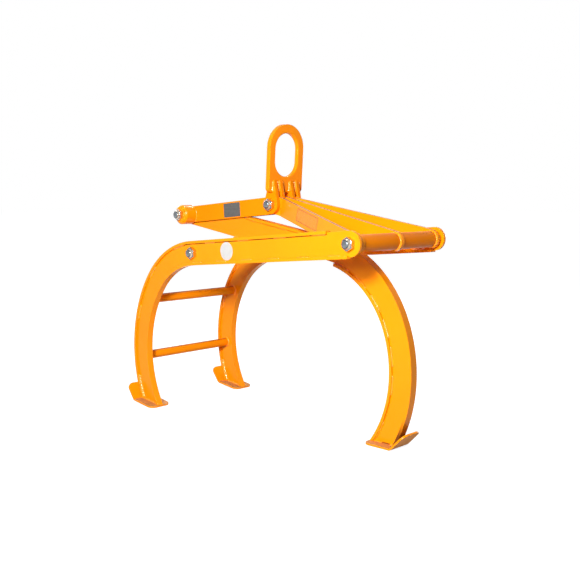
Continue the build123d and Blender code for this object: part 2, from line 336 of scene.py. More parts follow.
def paint_relief(tree, place, rounded, grain=PAINT_GRAIN):
    # Slow waves and fine orange peel
    peel = tree.noise(place, scale=900.0, detail=2.0)
    waves = tree.noise(place, scale=38.0, detail=2.0)
    normal = tree.bump(waves, strength=0.05, distance=0.004, normal=rounded)
    return tree.bump(peel, strength=grain, distance=0.0006, normal=normal)


def paint(name, smoothest, roughest, thickest=PAINT_WANDER, edge=PAINT_EDGE, grain=PAINT_GRAIN,
          deep=PAINT_DEEP, under=0.0, over=0.0, gloss=PAINT_GLOSS):
    # Orange paint; under and over say how strongly painted shade darkens edges that look down and faces
    # that look up
    tree = Tree(name)
    place = tree.place()
    rounded = tree.rounded(edge)
    tone, mottle = paint_tone(tree, place, rounded, thickest, deep)
    # Painted shade on edges that look down
    if under:
        tone = tree.blend(tree.maths("MULTIPLY", tree.hanging(rounded), under), tone, PAINTED_SHADE)
    # Painted dark reflection on faces that look up
    if over:
        top = tree.spread(tree.facing("Z"), low=0.0, high=over, start=0.70, end=0.97)
        tone = tree.blend(top, tone, PAINTED_SHADE)
    normal = paint_relief(tree, place, rounded, grain)
    rough = tree.spread(mottle, low=smoothest, high=roughest)
    return tree.surface(Base_Color=tone, Roughness=rough, Normal=normal, Specular_IOR_Level=gloss)


def link_paint_top_reflection():
    # Paint with a painted grey reflection on the plates' top faces, which are also rougher
    tree = Tree("link_paint_top_reflection")
    place = tree.place()
    rounded = tree.rounded(radius=0.0006)
    tone, mottle = paint_tone(tree, place, rounded)
    # Painted grey reflection on faces that look up
    top = tree.spread(tree.facing("Z"), low=0.0, high=1.0, start=0.90, end=0.97)
    cover = tree.maths("MULTIPLY", top, tree.spread(mottle, low=0.6, high=0.9))
    tone = tree.blend(cover, tone, GREY_TOP_REFLECTION)
    normal = paint_relief(tree, place, rounded)
    rough = tree.spread(cover, low=0.20, high=0.55, start=0.0, end=1.0)
    return tree.surface(Base_Color=tone, Roughness=rough, Normal=normal, Specular_IOR_Level=PAINT_GLOSS)


def strip_paint_shaded():
    # Paint with painted shade: dulled on the strip's flat top, deeper on its outer face, dark on its top
    # edges and darker towards the foot
    tree = Tree("strip_paint_shaded")
    place = tree.place()
    rounded = tree.rounded(PAINT_EDGE)
    tone = paint_tone(tree, place, rounded)[0]
    upward = tree.facing("Z")
    top = tree.spread(upward, low=0.0, high=1.0, start=0.90, end=0.97)
    # Painted shade dulls the flat top
    tone = tree.blend(tree.maths("MULTIPLY", top, STRIP_TOP_SHADING), tone, STRIP_TOP_SHADE)
    # Painted shade deepens the outer face above the foot
    outer = tree.spread(tree.facing("X"), low=0.0, high=0.6, start=0.3, end=0.8)
    above = tree.spread(upward, low=0.0, high=1.0, start=-0.25, end=0.05)
    tone = tree.blend(tree.maths("MULTIPLY", outer, above), tone, STRIP_FLANK_SHADE)
    # Painted shade darkens the top edges
    raised = tree.spread(upward, low=0.0, high=1.0, start=0.5, end=0.8)
    tone = tree.blend(tree.maths("MULTIPLY", tree.edge_mask(rounded), raised), tone, PAINTED_SHADE)
    # Painted shade, darker towards the foot
    corner = tree.spread(tree.height(), low=0.9, high=0.0, start=FOOT_SHADE_LOW, end=FOOT_SHADE_HIGH)
    tone = tree.blend(corner, tone, PAINTED_SHADE)
    normal = paint_relief(tree, place, rounded)
    rough = tree.spread(top, low=0.20, high=0.75, start=0.0, end=1.0)
    return tree.surface(Base_Color=tone, Roughness=rough, Normal=normal, Specular_IOR_Level=PAINT_GLOSS)


def foot_paint():
    # Paint scuffed and dusty on the sole; on faces that look down, such as the flap's outer side, a paler
    # tone of dust and painted light bounced up from the floor
    tree = Tree("foot_paint")
    place = tree.place()
    rounded = tree.rounded(PAINT_EDGE)
    tone, mottle = paint_tone(tree, place, rounded)
    upward = tree.facing("Z")
    top = tree.spread(upward, low=0.0, high=1.0, start=0.90, end=0.98)
    under = tree.spread(upward, low=1.0, high=0.0, start=-0.55, end=-0.35)
    scuffs = tree.noise(place, scale=130.0, detail=5.0, roughness=0.7)
    cover = tree.maths("MULTIPLY", top, tree.spread(scuffs, low=0.75, high=1.0))
    dust = tree.blend(tree.spread(mottle, low=0.0, high=0.5), SOLE_DUST, SOLE_GRIME)
    tone = tree.blend(cover, tone, dust)
    # Dust and painted bounce light on faces that look down
    flap = tree.maths("MULTIPLY", under, tree.spread(scuffs, low=0.6, high=0.9))
    tone = tree.blend(flap, tone, FLAP_DUST_AND_BOUNCE)
    relief = paint_relief(tree, place, rounded)
    normal = tree.bump(scuffs, strength=0.12, distance=0.0006, normal=relief)
    rough = tree.spread(tree.maths("MAXIMUM", cover, under), low=0.24, high=0.62, start=0.0, end=1.0)
    return tree.surface(Base_Color=tone, Roughness=rough, Normal=normal, Specular_IOR_Level=PAINT_GLOSS)


def weld_paint():
    # Thicker, wetter paint over the rippled beads
    tree = Tree("weld_paint")
    place = tree.place()
    flow = tree.noise(place, scale=260.0, detail=4.0, roughness=0.6)
    spatter = tree.noise(place, scale=800.0)
    tone = tree.blend(tree.spread(flow, low=0.0, high=0.4), PAINT, PAINT_DEEP)
    normal = tree.bump(flow, strength=0.12, distance=0.0008)
    normal = tree.bump(spatter, strength=0.05, distance=0.0004, normal=normal)
    rough = tree.spread(flow, low=0.13, high=0.22)
    return tree.surface(Base_Color=tone, Roughness=rough, Normal=normal, Specular_IOR_Level=0.5)


def zinc():
    # Zinc plating with painted reflections: warm and bright on the flanks, dark on the ends of the nuts and
    # pins
    tree = Tree("zinc")
    place = tree.place()
    rounded = tree.rounded(radius=0.0009)
    across = tree.facing("Y")
    # Painted reflection: the flanks, across the pin's axis, take a warm bright tone
    flank = tree.spread(tree.maths("MULTIPLY", across, across), low=1.0, high=0.0, start=0.1, end=0.5)
    cloud, tone = tree.clouds(place, ZINC_LIGHT, ZINC_DARK, scale=90.0)
    tone = tree.blend(flank, tone, ZINC_FLANK_REFLECTION)
    grain = tree.noise(place, scale=1400.0)
    normal = tree.bump(grain, strength=0.10, distance=0.0003, normal=rounded)
    rough = tree.spread(cloud, low=0.16, high=0.30)
    return tree.surface(Base_Color=tone, Metallic=1.0, Roughness=rough, Normal=normal)


def steel():
    # Bare steel, lightly clouded
    tree = Tree("steel")
    place = tree.place()
    rounded = tree.rounded(radius=0.0006)
    cloud, tone = tree.clouds(place, STEEL_LIGHT, STEEL_DARK, scale=70.0)
    grain = tree.noise(place, scale=1800.0)
    normal = tree.bump(grain, strength=0.15, distance=0.0003, normal=rounded)
    rough = tree.spread(cloud, low=0.24, high=0.42)
    return tree.surface(Base_Color=tone, Metallic=1.0, Roughness=rough, Normal=normal)


def nylon():
    # Dark nylon of the locking rings
    tree = Tree("nylon")
    cloud, tone = tree.clouds(tree.place(), NYLON_LIGHT, NYLON_DARK, scale=400.0, detail=3.0, roughness=0.5)
    normal = tree.bump(cloud, strength=0.15, distance=0.0003)
    rough = tree.spread(cloud, low=0.30, high=0.45)
    return tree.surface(Base_Color=tone, Roughness=rough, Normal=normal, Specular_IOR_Level=0.5)


def grey_plate():
    # Bare grey metal, brushed along its length
    tree = Tree("grey_plate")
    place = tree.place()
    rounded = tree.rounded(radius=0.0005)
    lengthwise = tree.stretched(place, scale=(12.0, 400.0, 1100.0))
    brushed, tone = tree.clouds(lengthwise, GREY_LIGHT, GREY_DARK, scale=1.0, detail=3.0, roughness=0.5)
    stain = tree.noise(place, scale=120.0, detail=4.0, roughness=0.6)
    tone = tree.blend(tree.spread(stain, low=0.0, high=0.35), tone, GREY_STAIN)
    normal = tree.bump(brushed, strength=0.12, distance=0.0003, normal=rounded)
    rough = tree.spread(stain, low=0.42, high=0.58)
    return tree.surface(Base_Color=tone, Roughness=rough, Normal=normal, Specular_IOR_Level=0.3)


def white_vinyl():
    # White vinyl of the blank disc
    tree = Tree("white_vinyl")
    place = tree.place()
    rounded = tree.rounded(radius=0.0004)
    cloud, tone = tree.clouds(place, VINYL_LIGHT, VINYL_DARK, scale=80.0)
    fine = tree.noise(place, scale=1200.0, detail=2.0)
    normal = tree.bump(fine, strength=0.05, distance=0.0003, normal=rounded)
    rough = tree.spread(cloud, low=0.34, high=0.46)
    return tree.surface(Base_Color=tone, Roughness=rough, Normal=normal, Specular_IOR_Level=0.3)


def clear_film():
    # Clear film over paint, a little deeper in tone than the bare paint
    tree = Tree("clear_film")
    place = tree.place()
    cloud, tone = tree.clouds(place, FILM_LIGHT, FILM_DARK, scale=70.0)
    ripple = tree.noise(place, scale=220.0, detail=2.0)
    normal = tree.bump(ripple, strength=0.06, distance=0.0006)
    rough = tree.spread(cloud, low=0.20, high=0.32)
    return tree.surface(Base_Color=tone, Roughness=rough, Normal=normal, Specular_IOR_Level=0.25)


def film_line():
    # Dark line round the film
    tree = Tree("film_line")
    cloud, tone = tree.clouds(tree.place(), LINE_LIGHT, LINE_DARK, scale=300.0, detail=3.0, roughness=0.5)
    rough = tree.spread(cloud, low=0.35, high=0.50)
    return tree.surface(Base_Color=tone, Roughness=rough, Specular_IOR_Level=0.2)


def seam_shade():
    # Painted shadow in the seam between two welded plates, between the beads
    tree = Tree("seam_shade")
    cloud, tone = tree.clouds(tree.place(), SEAM_SHADOW_DARK, SEAM_SHADOW_LIGHT, scale=240.0)
    normal = tree.bump(cloud, strength=0.20, distance=0.0004)
    rough = tree.spread(cloud, low=0.45, high=0.65)
    return tree.surface(Base_Color=tone, Roughness=rough, Normal=normal, Specular_IOR_Level=0.1)


# Finishes of the solids: one for each slot, and special ones by how the name of a piece starts and ends
zinc_finish = zinc()
strip_finish = strip_paint_shaded()
slot_finishes = {
    "paint": paint("paint", smoothest=0.15, roughest=0.24),
    "zinc": zinc_finish,
    "steel": steel(),
}
# The rungs' paint: painted dark reflection on the faces that look up
rung_finish = paint("rung_paint_shaded", smoothest=0.26, roughest=0.36, thickest=0.7, over=0.6, gloss=0.05)
# The cross tube's paint: a deep tone of painted shade
tube_finish = paint("cross_tube_paint_shaded", smoothest=0.30, roughest=0.42, thickest=1.0,
                    deep=PAINT_DEEP_SHADE, gloss=0.06)
# The boss's paint: held at the lightest tone as painted light
boss_finish = paint("boss_paint", smoothest=0.11, roughest=0.18, thickest=0.0, edge=0.0030,
                    grain=0.012, gloss=0.09)
eye_finish = paint("eye_paint", smoothest=0.04, roughest=0.10, thickest=0.55, edge=0.0024,
                   grain=0.012, gloss=0.06)
# The lugs' paint: a deep tone of painted shade, dark in the gaps between them
lug_finish = paint("lug_paint_shaded", smoothest=0.30, roughest=0.42, thickest=0.75, edge=0.0018,
                   deep=PAINT_DEEP_SHADE, gloss=0.02)
# The left link's paint: a deeper tone and painted shade on its edges that look down
left_link_finish = paint("left_link_paint", smoothest=0.60, roughest=0.72, thickest=0.8, edge=0.0018,
                         under=0.9, gloss=0.04)
special_finishes = (
    ("", "_foot", foot_paint()),
    ("", "_rung", rung_finish),
    ("", "_tube", tube_finish),
    ("", "_boss", boss_finish),
    ("", "_lug", lug_finish),
    ("right_link", "_plate", link_paint_top_reflection()),
    ("left_link", "_plate", left_link_finish),
    ("eye", "_plate", eye_finish),
    ("right_outer", "_strip", strip_finish),
)


def finish_of(node, slot):
    for start, end, finish in special_finishes:
        if node.startswith(start) and node.endswith(end):
            return finish
    return slot_finishes[slot]


for entry in record["subparts"]:
    node_mesh = nodes[entry["node"]].data
    node_mesh.materials.clear()
    node_mesh.materials.append(finish_of(entry["node"], entry["material_slot"]))

# Mesh helpers: a shape is a list of points and a list of faces
SHARP_ANGLE = 40.0


def joined(shapes):
    points, faces = [], []
    for shape_points, shape_faces in shapes:
        start = len(points)
        points += shape_points
        faces += [tuple(start + corner for corner in face) for face in shape_faces]
    return points, faces


def add_piece(name, shape, material, body):
    points, faces = shape
    mesh = bpy.data.meshes.new(name)
    mesh.from_pydata([tuple(point) for point in points], [], faces)
    mesh.shade_smooth()
    mesh.set_sharp_from_angle(angle=math.radians(SHARP_ANGLE))
    mesh.materials.append(material)
    piece = bpy.data.objects.new(name, mesh)
    scene.collection.objects.link(piece)
    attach(piece, body)


def tube_faces(rings, sides, closed):
    # Faces between rings of points, which meet in a loop if closed and have end caps if not
    faces = []
    for ring in range(rings if closed else rings - 1):
        here, there = ring * sides, (ring + 1) % rings * sides
        for side in range(sides):
            after = (side + 1) % sides
            faces.append((here + side, here + after, there + after, there + side))
    if not closed:
        faces.append(tuple(reversed(range(sides))))
        faces.append(tuple(range((rings - 1) * sides, rings * sides)))
    return faces


# Thin rounded sheets laid on a face
SHEET_CORNER_STEPS = 8


def outline(width, height, corner):
    # Points round a rectangle with rounded corners
    points = []
    for quarter, (right, top) in enumerate(((1, 1), (-1, 1), (-1, -1), (1, -1))):
        middle_x, middle_y = right * (width / 2 - corner), top * (height / 2 - corner)
        for step in range(SHEET_CORNER_STEPS + 1):
            turn = math.radians(90.0 * (quarter + step / SHEET_CORNER_STEPS))
            points.append((middle_x + corner * math.cos(turn), middle_y + corner * math.sin(turn)))
    return points


def sheet(centre, along, up, width, height, corner, thickness, edge):
    # Closed sheet with a bevelled rim, standing on the face that its centre lies on
    normal = along.cross(up).normalized()
    rim = outline(width, height, corner)
    top = outline(width - 2 * edge, height - 2 * edge, corner - edge)
    levels = ((rim, 0.0), (rim, thickness - edge), (top, thickness))
    points = []
    for loop, level in levels:
        points += [centre + along * x + up * y + normal * level for x, y in loop]
    return points, tube_faces(len(levels), len(rim), False)


def frame_line(centre, along, up, width, height, corner, line, thickness):
    # Closed thin line that runs round a rounded rectangle
    normal = along.cross(up).normalized()
    outer = outline(width, height, corner)
    inner = outline(width - 2 * line, height - 2 * line, corner - line)
    points = []
    for outside, inside in zip(outer, inner):
        section = ((outside, 0.0), (outside, thickness), (inside, thickness), (inside, 0.0))
        points += [centre + along * x + up * y + normal * level for (x, y), level in section]
    return points, tube_faces(len(outer), len(section), True)


# Weld beads
BEAD_LEG = 0.0036
BEAD_STEP = 0.0012
# Points of the section, as shares of the leg out of the corner and aside
BEAD_SECTION = (
    (0.79, 0), (0.77, 0.3), (0.715, 0.6), (0.6, 0.78),
    (-0.25, 0), (0.6, -0.78), (0.715, -0.6), (0.77, -0.3),
)
# Waves along a bead: share of the leg, turn in radians for each metre, and turn at the start
BEAD_WAVES = ((0.06, 310.0, 0.0), (0.05, 143.0, 1.3))
RIPPLE_PITCH = 1.5
RIPPLE_DEPTH = 0.15
RIPPLE_LAG = 0.35
END_RINGS = 3
END_BLUNTNESS = 0.4


def end_taper(inset):
    # Share of the full size of the ring that lies so many rings from the end of a bead
    if inset >= END_RINGS:
        return 1.0
    return math.sqrt(1.0 - (1.0 - (inset + END_BLUNTNESS) / (END_RINGS + END_BLUNTNESS)) ** 2)


def bead(path, outward, leg=BEAD_LEG, closed=False):
    # Rippled fillet bead along a corner; outward points out of the corner at each point of the path
    points = []
    count = len(path)
    length = 0.0
    for index, centre in enumerate(path):
        before = path[index - 1] if index or closed else centre
        after = path[(index + 1) % count] if index < count - 1 or closed else centre
        tangent = (after - before).normalized()
        if index:
            length += (centre - path[index - 1]).length
        out = outward[index]
        out = (out - tangent * out.dot(tangent)).normalized()
        aside = tangent.cross(out)
        ripple = abs(math.sin(math.pi * length / (RIPPLE_PITCH * leg)))
        wander = sum(share * math.sin(length * turn + start) for share, turn, start in BEAD_WAVES)
        size = leg * (1.0 - RIPPLE_DEPTH + RIPPLE_DEPTH * ripple + wander)
        if not closed:
            size *= end_taper(min(index, count - 1 - index))
        for rise, sway in BEAD_SECTION:
            lag = tangent * (-RIPPLE_LAG * size * max(rise - abs(sway), 0.0))
            points.append(centre + out * (size * rise) + aside * (size * sway) + lag)
    return points, tube_faces(count, len(BEAD_SECTION), closed)


def straight_bead(start, stop, outward, leg=BEAD_LEG):
    count = max(int((stop - start).length / BEAD_STEP), 2 * END_RINGS)
    path = [start.lerp(stop, index / (count - 1)) for index in range(count)]
    return bead(path, [outward] * count, leg)


def ring_bead(centre, radius, away, start=0.0, sweep=360.0, leg=BEAD_LEG):
    # Bead round a tube along Y where it meets a plate; away is the side of the plate, -1 or 1
    closed = sweep >= 360.0
    count = int(math.radians(sweep) * radius / BEAD_STEP)
    path, outward = [], []
    for index in range(count):
        share = index / count if closed else index / (count - 1)
        spoke = direction(start + sweep * share)
        path.append(centre + spoke * radius)
        outward.append((spoke + ACROSS * away).normalized())
    return bead(path, outward, leg, closed)


# Arms: straight from the pivot end to the knee, then two arcs down to the foot, in metres and degrees
LEFT_KNEE = 0.591
LEFT_KNEE_RADIUS = 0.255
LEFT_KNEE_ANGLE = 48.0
RIGHT_KNEE = 0.5825
RIGHT_KNEE_RADIUS = 0.292
RIGHT_KNEE_ANGLE = 60.0
LEG_RADIUS = 0.346
LONGEST_LEG = 1.0
WEB_EDGE = 0.027
FOOT_THICKNESS = 0.005
LEFT_TILT = 4.8
RIGHT_TILT = 9.1
RIGHT_DROP = 0.0036
HALVINGS = 40


class Arm:
    def __init__(self, origin, along, out, knee, knee_radius, knee_angle, sole):
        self.origin, self.along, self.out = origin, along, out
        self.knee, self.knee_radius, self.knee_angle = knee, knee_radius, math.radians(knee_angle)
        self.sole_up = -Vector(mounts[sole]["axis"])
        self.sole_top = Vector(mounts[sole]["pos_m"]) + self.sole_up * FOOT_THICKNESS

    def spot(self, distance, offset):
        # Point on the arm's middle plane and the direction out of its curve there
        first = self.origin + self.along * self.knee - self.out * self.knee_radius
        if distance < self.knee:
            return self.origin + self.along * distance + self.out * offset, self.out
        turn = (distance - self.knee) / self.knee_radius
        if turn < self.knee_angle:
            spoke = self.out * math.cos(turn) + self.along * math.sin(turn)
            return first + spoke * (self.knee_radius + offset), spoke
        bend = self.out * math.cos(self.knee_angle) + self.along * math.sin(self.knee_angle)
        second = first + bend * (self.knee_radius - LEG_RADIUS)
        turn = self.knee_angle + (distance - self.knee - self.knee_radius * self.knee_angle) / LEG_RADIUS
        spoke = self.out * math.cos(turn) + self.along * math.sin(turn)
        return second + spoke * (LEG_RADIUS + offset), spoke

    def foot(self, offset):
        # Distance along the arm at which a line at that offset meets the top of the sole
        low, high = self.knee, self.knee + LONGEST_LEG
        for _ in range(HALVINGS):
            middle = (low + high) / 2
            point = self.spot(middle, offset)[0]
            point.y = self.sole_top.y
            if (point - self.sole_top).dot(self.sole_up) > 0:
                low = middle
            else:
                high = middle
        return low

    def sole_line(self):
        # Where the middle plane meets the sole at the inner and at the outer strip
        return [self.spot(self.foot(edge * WEB_EDGE), edge * WEB_EDGE)[0] for edge in (-1, 1)]

    def seam(self, start, stop, edge, y, away, leg=BEAD_LEG):
        # Bead in the corner of a web face at y and the outer strip, edge 1, or the inner strip, edge -1
        count = max(int((stop - start) / BEAD_STEP), 2 * END_RINGS)
        path, outward = [], []
        for index in range(count):
            point, spoke = self.spot(start + (stop - start) * index / (count - 1), edge * WEB_EDGE)
            path.append(point + ACROSS * y)
            outward.append(ACROSS * away - spoke * edge)
        return bead(path, outward, leg)


left_along, left_out = direction(180 + LEFT_TILT), direction(90 + LEFT_TILT)
left_knee = (LEFT_KNEE, LEFT_KNEE_RADIUS, LEFT_KNEE_ANGLE)
left_arm = Arm(right_pivot, left_along, left_out, *left_knee, "front_left_sole")
right_along, right_out = direction(-RIGHT_TILT), direction(90 - RIGHT_TILT)
right_knee = (RIGHT_KNEE, RIGHT_KNEE_RADIUS, RIGHT_KNEE_ANGLE)
right_arm = Arm(left_pivot + right_out * RIGHT_DROP, right_along, right_out, *right_knee, "right_sole")

# Seams of the arms: rows of short beads, with dark lines of painted shadow between them
Row = namedtuple("Row", "first pitch length")
LEFT_OUTER_ROW = Row(first=0.074, pitch=0.1375, length=0.044)
LEFT_INNER_ROW = Row(first=0.030, pitch=0.104, length=0.042)
RIGHT_OUTER_ROW = Row(first=0.276, pitch=0.104, length=0.042)
RIGHT_INNER_ROW = Row(first=0.616, pitch=0.080, length=0.056)
FOOT_STITCH = 0.070
FOOT_LEG = 0.0072
SEAM_STEP = 0.006
SEAM_OVERRUN = 0.033
SEAM_HEIGHT = 0.0022
SEAM_LEVEL = 0.00015
SLIT_START = 0.42
SLIT_STOP = 0.82
SLIT_HEIGHT = 0.0026
SLIT_CORNER = 0.0008
SLIT_THICKNESS = 0.0002
SLIT_EDGE = 0.0001


def stitches(arm, edge, row, y, away, foot_leg=BEAD_LEG):
    # Short beads at a steady pitch and one that runs down to the foot
    end = arm.foot(edge * WEB_EDGE)
    shapes = []
    start = row.first
    while start + row.length < end - FOOT_STITCH - row.length:
        shapes.append(arm.seam(start, start + row.length, edge, y, away))
        start += row.pitch
    shapes.append(arm.seam(end - FOOT_STITCH, end, edge, y, away, foot_leg))
    return shapes


def seam_shadow_lines(arm, row, y, away, last):
    # Dark lines of painted shadow on a web face beside the outer strip, between the beads
    section = ((0.0, -1), (0.0, 1), (SEAM_HEIGHT, 1), (SEAM_HEIGHT, -1))
    shapes = []
    start = row.first + row.length
    while start < last:
        stop = min(start + row.pitch - row.length, last)
        count = max(int((stop - start) / SEAM_STEP), 2)
        points = []
        for index in range(count):
            point, spoke = arm.spot(start + (stop - start) * index / (count - 1), WEB_EDGE)
            for depth, rise in section:
                points.append(point - spoke * depth + ACROSS * (y + away * rise * SEAM_LEVEL))
        shapes.append((points, tube_faces(count, len(section), False)))
        start += row.pitch
    return shapes


def sole_bead(arm, y, away, start=0.0, stop=1.0):
    # Bead along the foot of a web face, over a share of the way from the inner strip to the outer strip
    inner, outer = arm.sole_line()
    first = inner.lerp(outer, start) + ACROSS * y
    last = inner.lerp(outer, stop) + ACROSS * y
    return straight_bead(first, last, ACROSS * away + arm.sole_up)


def sole_slit_shadow(arm, y, away):
    # Dark sheet of painted shadow for the slit under a web face, between the beads there
    inner, outer = arm.sole_line()
    rise = arm.sole_up * SLIT_HEIGHT / 2
    middle = inner.lerp(outer, (SLIT_START + SLIT_STOP) / 2) + ACROSS * y + rise
    reach = (outer - inner) * (SLIT_STOP - SLIT_START)
    along = reach.normalized() * -away
    return sheet(middle, along, arm.sole_up, reach.length, SLIT_HEIGHT,
                 SLIT_CORNER, SLIT_THICKNESS, SLIT_EDGE)


welds = weld_paint()
seam_shadow_finish = seam_shade()
for side in ("front", "back"):
    shapes, shadow_lines = [], []
    for face, away in faces_of("left_" + side + "_web"):
        shapes += stitches(left_arm, 1, LEFT_OUTER_ROW, face, away, FOOT_LEG)
        shapes += stitches(left_arm, -1, LEFT_INNER_ROW, face, away)
        shapes.append(sole_bead(left_arm, face, away))
        shadow_lines += seam_shadow_lines(left_arm, LEFT_OUTER_ROW, face, away, LEFT_KNEE + SEAM_OVERRUN)
    add_piece("left_" + side + "_welds", joined(shapes), welds, "left_tong")
    add_piece("left_" + side + "_seam_shadows", joined(shadow_lines), seam_shadow_finish, "left_tong")

right_faces = faces_of("right_web")
shapes, shadow_lines = [], []
for face, away in right_faces:
    shapes += stitches(right_arm, 1, RIGHT_OUTER_ROW, face, away)
    shapes += stitches(right_arm, -1, RIGHT_INNER_ROW, face, away)
    shapes.append(sole_bead(right_arm, face, away, stop=SLIT_START))
    shapes.append(sole_bead(right_arm, face, away, start=SLIT_STOP))
    shadow_lines += seam_shadow_lines(right_arm, RIGHT_OUTER_ROW, face, away, RIGHT_KNEE)
    shadow_lines.append(sole_slit_shadow(right_arm, face, away))
add_piece("right_welds", joined(shapes), welds, "right_tong")
add_piece("right_seam_shadows", joined(shadow_lines), seam_shadow_finish, "right_tong")

# Weld that slopes up from the right web to the start of its outer strip
STRIP_START = 0.268
STRIP_THICKNESS = 0.008
RUNOUT_LENGTH = 0.026
RUNOUT_RINGS = 14
RUNOUT_BEND = 0.98
RUNOUT_ROUND = 0.0012
RUNOUT_ROOT = 0.001


def runout():
    half = face_of("right_web", 1)
    flat = half - RUNOUT_ROUND
    points = []
    for ring in range(RUNOUT_RINGS):
        share = ring / (RUNOUT_RINGS - 1)
        distance = STRIP_START - RUNOUT_LENGTH * (1.0 - share)
        rise = STRIP_THICKNESS * math.sqrt(1.0 - (RUNOUT_BEND - RUNOUT_BEND * share) ** 2)
        shoulder = max(rise - RUNOUT_ROUND, 0.0)
        section = ((-half, -RUNOUT_ROOT), (half, -RUNOUT_ROOT), (half, shoulder),
                   (flat, rise), (-flat, rise), (-half, shoulder))
        for y, up in section:
            points.append(right_arm.spot(distance, WEB_EDGE + up)[0] + ACROSS * y)
    return points, tube_faces(RUNOUT_RINGS, len(section), False)


add_piece("right_strip_end", runout(), strip_finish, "right_tong")

# Welds round the rungs
shapes = []
for node in ("upper_rung", "lower_rung"):
    centre, reach = middle_of(node)
    for away in (-1, 1):
        end = centre + ACROSS * (away * reach.y)
        shapes.append(ring_bead(end, reach.x, -away))
add_piece("rung_welds", joined(shapes), welds, "left_tong")

# Welds round the scissor hub, which is the same tube as the cross tube, and along the stop pad
PAD_LENGTH = 0.034
PAD_THICKNESS = 0.014
tube_radius = middle_of("scissor_hub")[1].x
pad_top = middle_of("stop_pad")[0] + right_out * PAD_THICKNESS / 2
pad_reach = right_along * PAD_LENGTH / 2
shapes = []
for face, away in right_faces:
    shapes.append(ring_bead(scissor + ACROSS * face, tube_radius, away))
for face, away in right_faces:
    middle = pad_top + ACROSS * face
    shapes.append(straight_bead(middle - pad_reach, middle + pad_reach, ACROSS * away + right_out))
add_piece("hub_and_pad_welds", joined(shapes), welds, "right_tong")

# Welds of the fan's three plates on the cross tube
FAN_THICKNESS = 0.010
FAN_WELD_LEG = 0.0024
fan_faces = list(faces_of("right_link_middle_plate"))
for side, away in (("front", -1), ("back", 1)):
    outside = face_of("right_link_" + side + "_plate", away)
    fan_faces += [(outside - away * FAN_THICKNESS, -away), (outside, away)]
shapes = []
for face, away in fan_faces:
    shapes.append(ring_bead(right_pivot + ACROSS * face, tube_radius, away, leg=FAN_WELD_LEG))
add_piece("cross_tube_welds", joined(shapes), welds, "right_link")

# Welds of the bosses on the left link's faces, which stop short of the plates' edges
LINK_HALF_DEPTH = 0.025
BOSS_WELD_GAP = 5.0
BOSS_WELD_LEG = 0.0014
left_link_tilt = tilt(left_pivot, eye_pivot)
shapes = []
for side, away in (("front", -1), ("back", 1)):
    centre = left_pivot + ACROSS * face_of("left_link_" + side + "_plate", away)
    radius = middle_of("left_link_" + side + "_boss")[1].x
    reach = math.degrees(math.asin(min(LINK_HALF_DEPTH / radius, 1.0))) - BOSS_WELD_GAP
    shapes.append(ring_bead(centre, radius, away, left_link_tilt - reach, 2 * reach, BOSS_WELD_LEG))
add_piece("boss_welds", joined(shapes), welds, "left_link")

# Welds of the lugs on the eye plate
EYE_TILT = 3.5
EYE_HALF_THICKNESS = 0.007
LUG_WELD_LOW = 0.037
LUG_WELD_HIGH = 0.067
LUG_WELD_LEG = 0.0048
eye_out = direction(-EYE_TILT)
eye_up = direction(90 - EYE_TILT)
shapes = []
for node in ("front_outer_lug", "front_inner_lug", "back_inner_lug", "back_outer_lug"):
    for face, away in faces_of(node):
        for side in (-1, 1):
            base = eye_pivot + eye_out * (side * EYE_HALF_THICKNESS) + ACROSS * face
            outward = eye_out * side + ACROSS * away
            start, stop = base + eye_up * LUG_WELD_LOW, base + eye_up * LUG_WELD_HIGH
            shapes.append(straight_bead(start, stop, outward, LUG_WELD_LEG))
add_piece("lug_welds", joined(shapes), welds, "lifting_eye")

# Nylon rings in the collars of the lock nuts
RING_RADIUS = 0.0107
RING_SIZE = 0.0006
RING_STEPS = 40
RING_SIDES = 8


def nylon_ring(centre):
    points = []
    for step in range(RING_STEPS):
        spoke = direction(360.0 * step / RING_STEPS)
        for side in range(RING_SIDES):
            turn = 2.0 * math.pi * side / RING_SIDES
            reach = RING_RADIUS + RING_SIZE * math.cos(turn)
            points.append(centre + spoke * reach + ACROSS * (RING_SIZE * math.sin(turn)))
    return points, tube_faces(RING_STEPS, RING_SIDES, True)


ring_finish = nylon()
for node in ("right_pivot_nuts", "stop_nuts", "left_pivot_nuts", "eye_pin_nuts"):
    centre, reach = middle_of(node)
    rings = [nylon_ring(centre + ACROSS * (side * reach.y)) for side in (-1, 1)]
    add_piece(node.replace("nuts", "nut_rings"), joined(rings), ring_finish, body_of(node))

# Rounded ends of the threaded pins, standing out of the nuts
TIP_RADIUS = 0.0098
TIP_HEIGHT = 0.0026
TIP_RINGS = 7


def pin_tip(centre, away):
    bulge = (TIP_RADIUS ** 2 + TIP_HEIGHT ** 2) / (2 * TIP_HEIGHT)
    points = []
    for ring in range(TIP_RINGS):
        reach = TIP_RADIUS * math.cos(math.pi / 2 * ring / TIP_RINGS)
        rise = math.sqrt(bulge ** 2 - reach ** 2) - (bulge - TIP_HEIGHT)
        for step in range(RING_STEPS):
            spoke = direction(-360.0 * away * step / RING_STEPS)
            points.append(centre + spoke * reach + ACROSS * (away * rise))
    return points, tube_faces(TIP_RINGS, RING_STEPS, False)


for node in ("right_pivot_stud", "stop_stud", "left_pivot_stud", "eye_pin"):
    centre, reach = middle_of(node)
    tips = [pin_tip(centre + ACROSS * (side * reach.y), side) for side in (-1, 1)]
    add_piece(node + "_tips", joined(tips), zinc_finish, body_of(node))

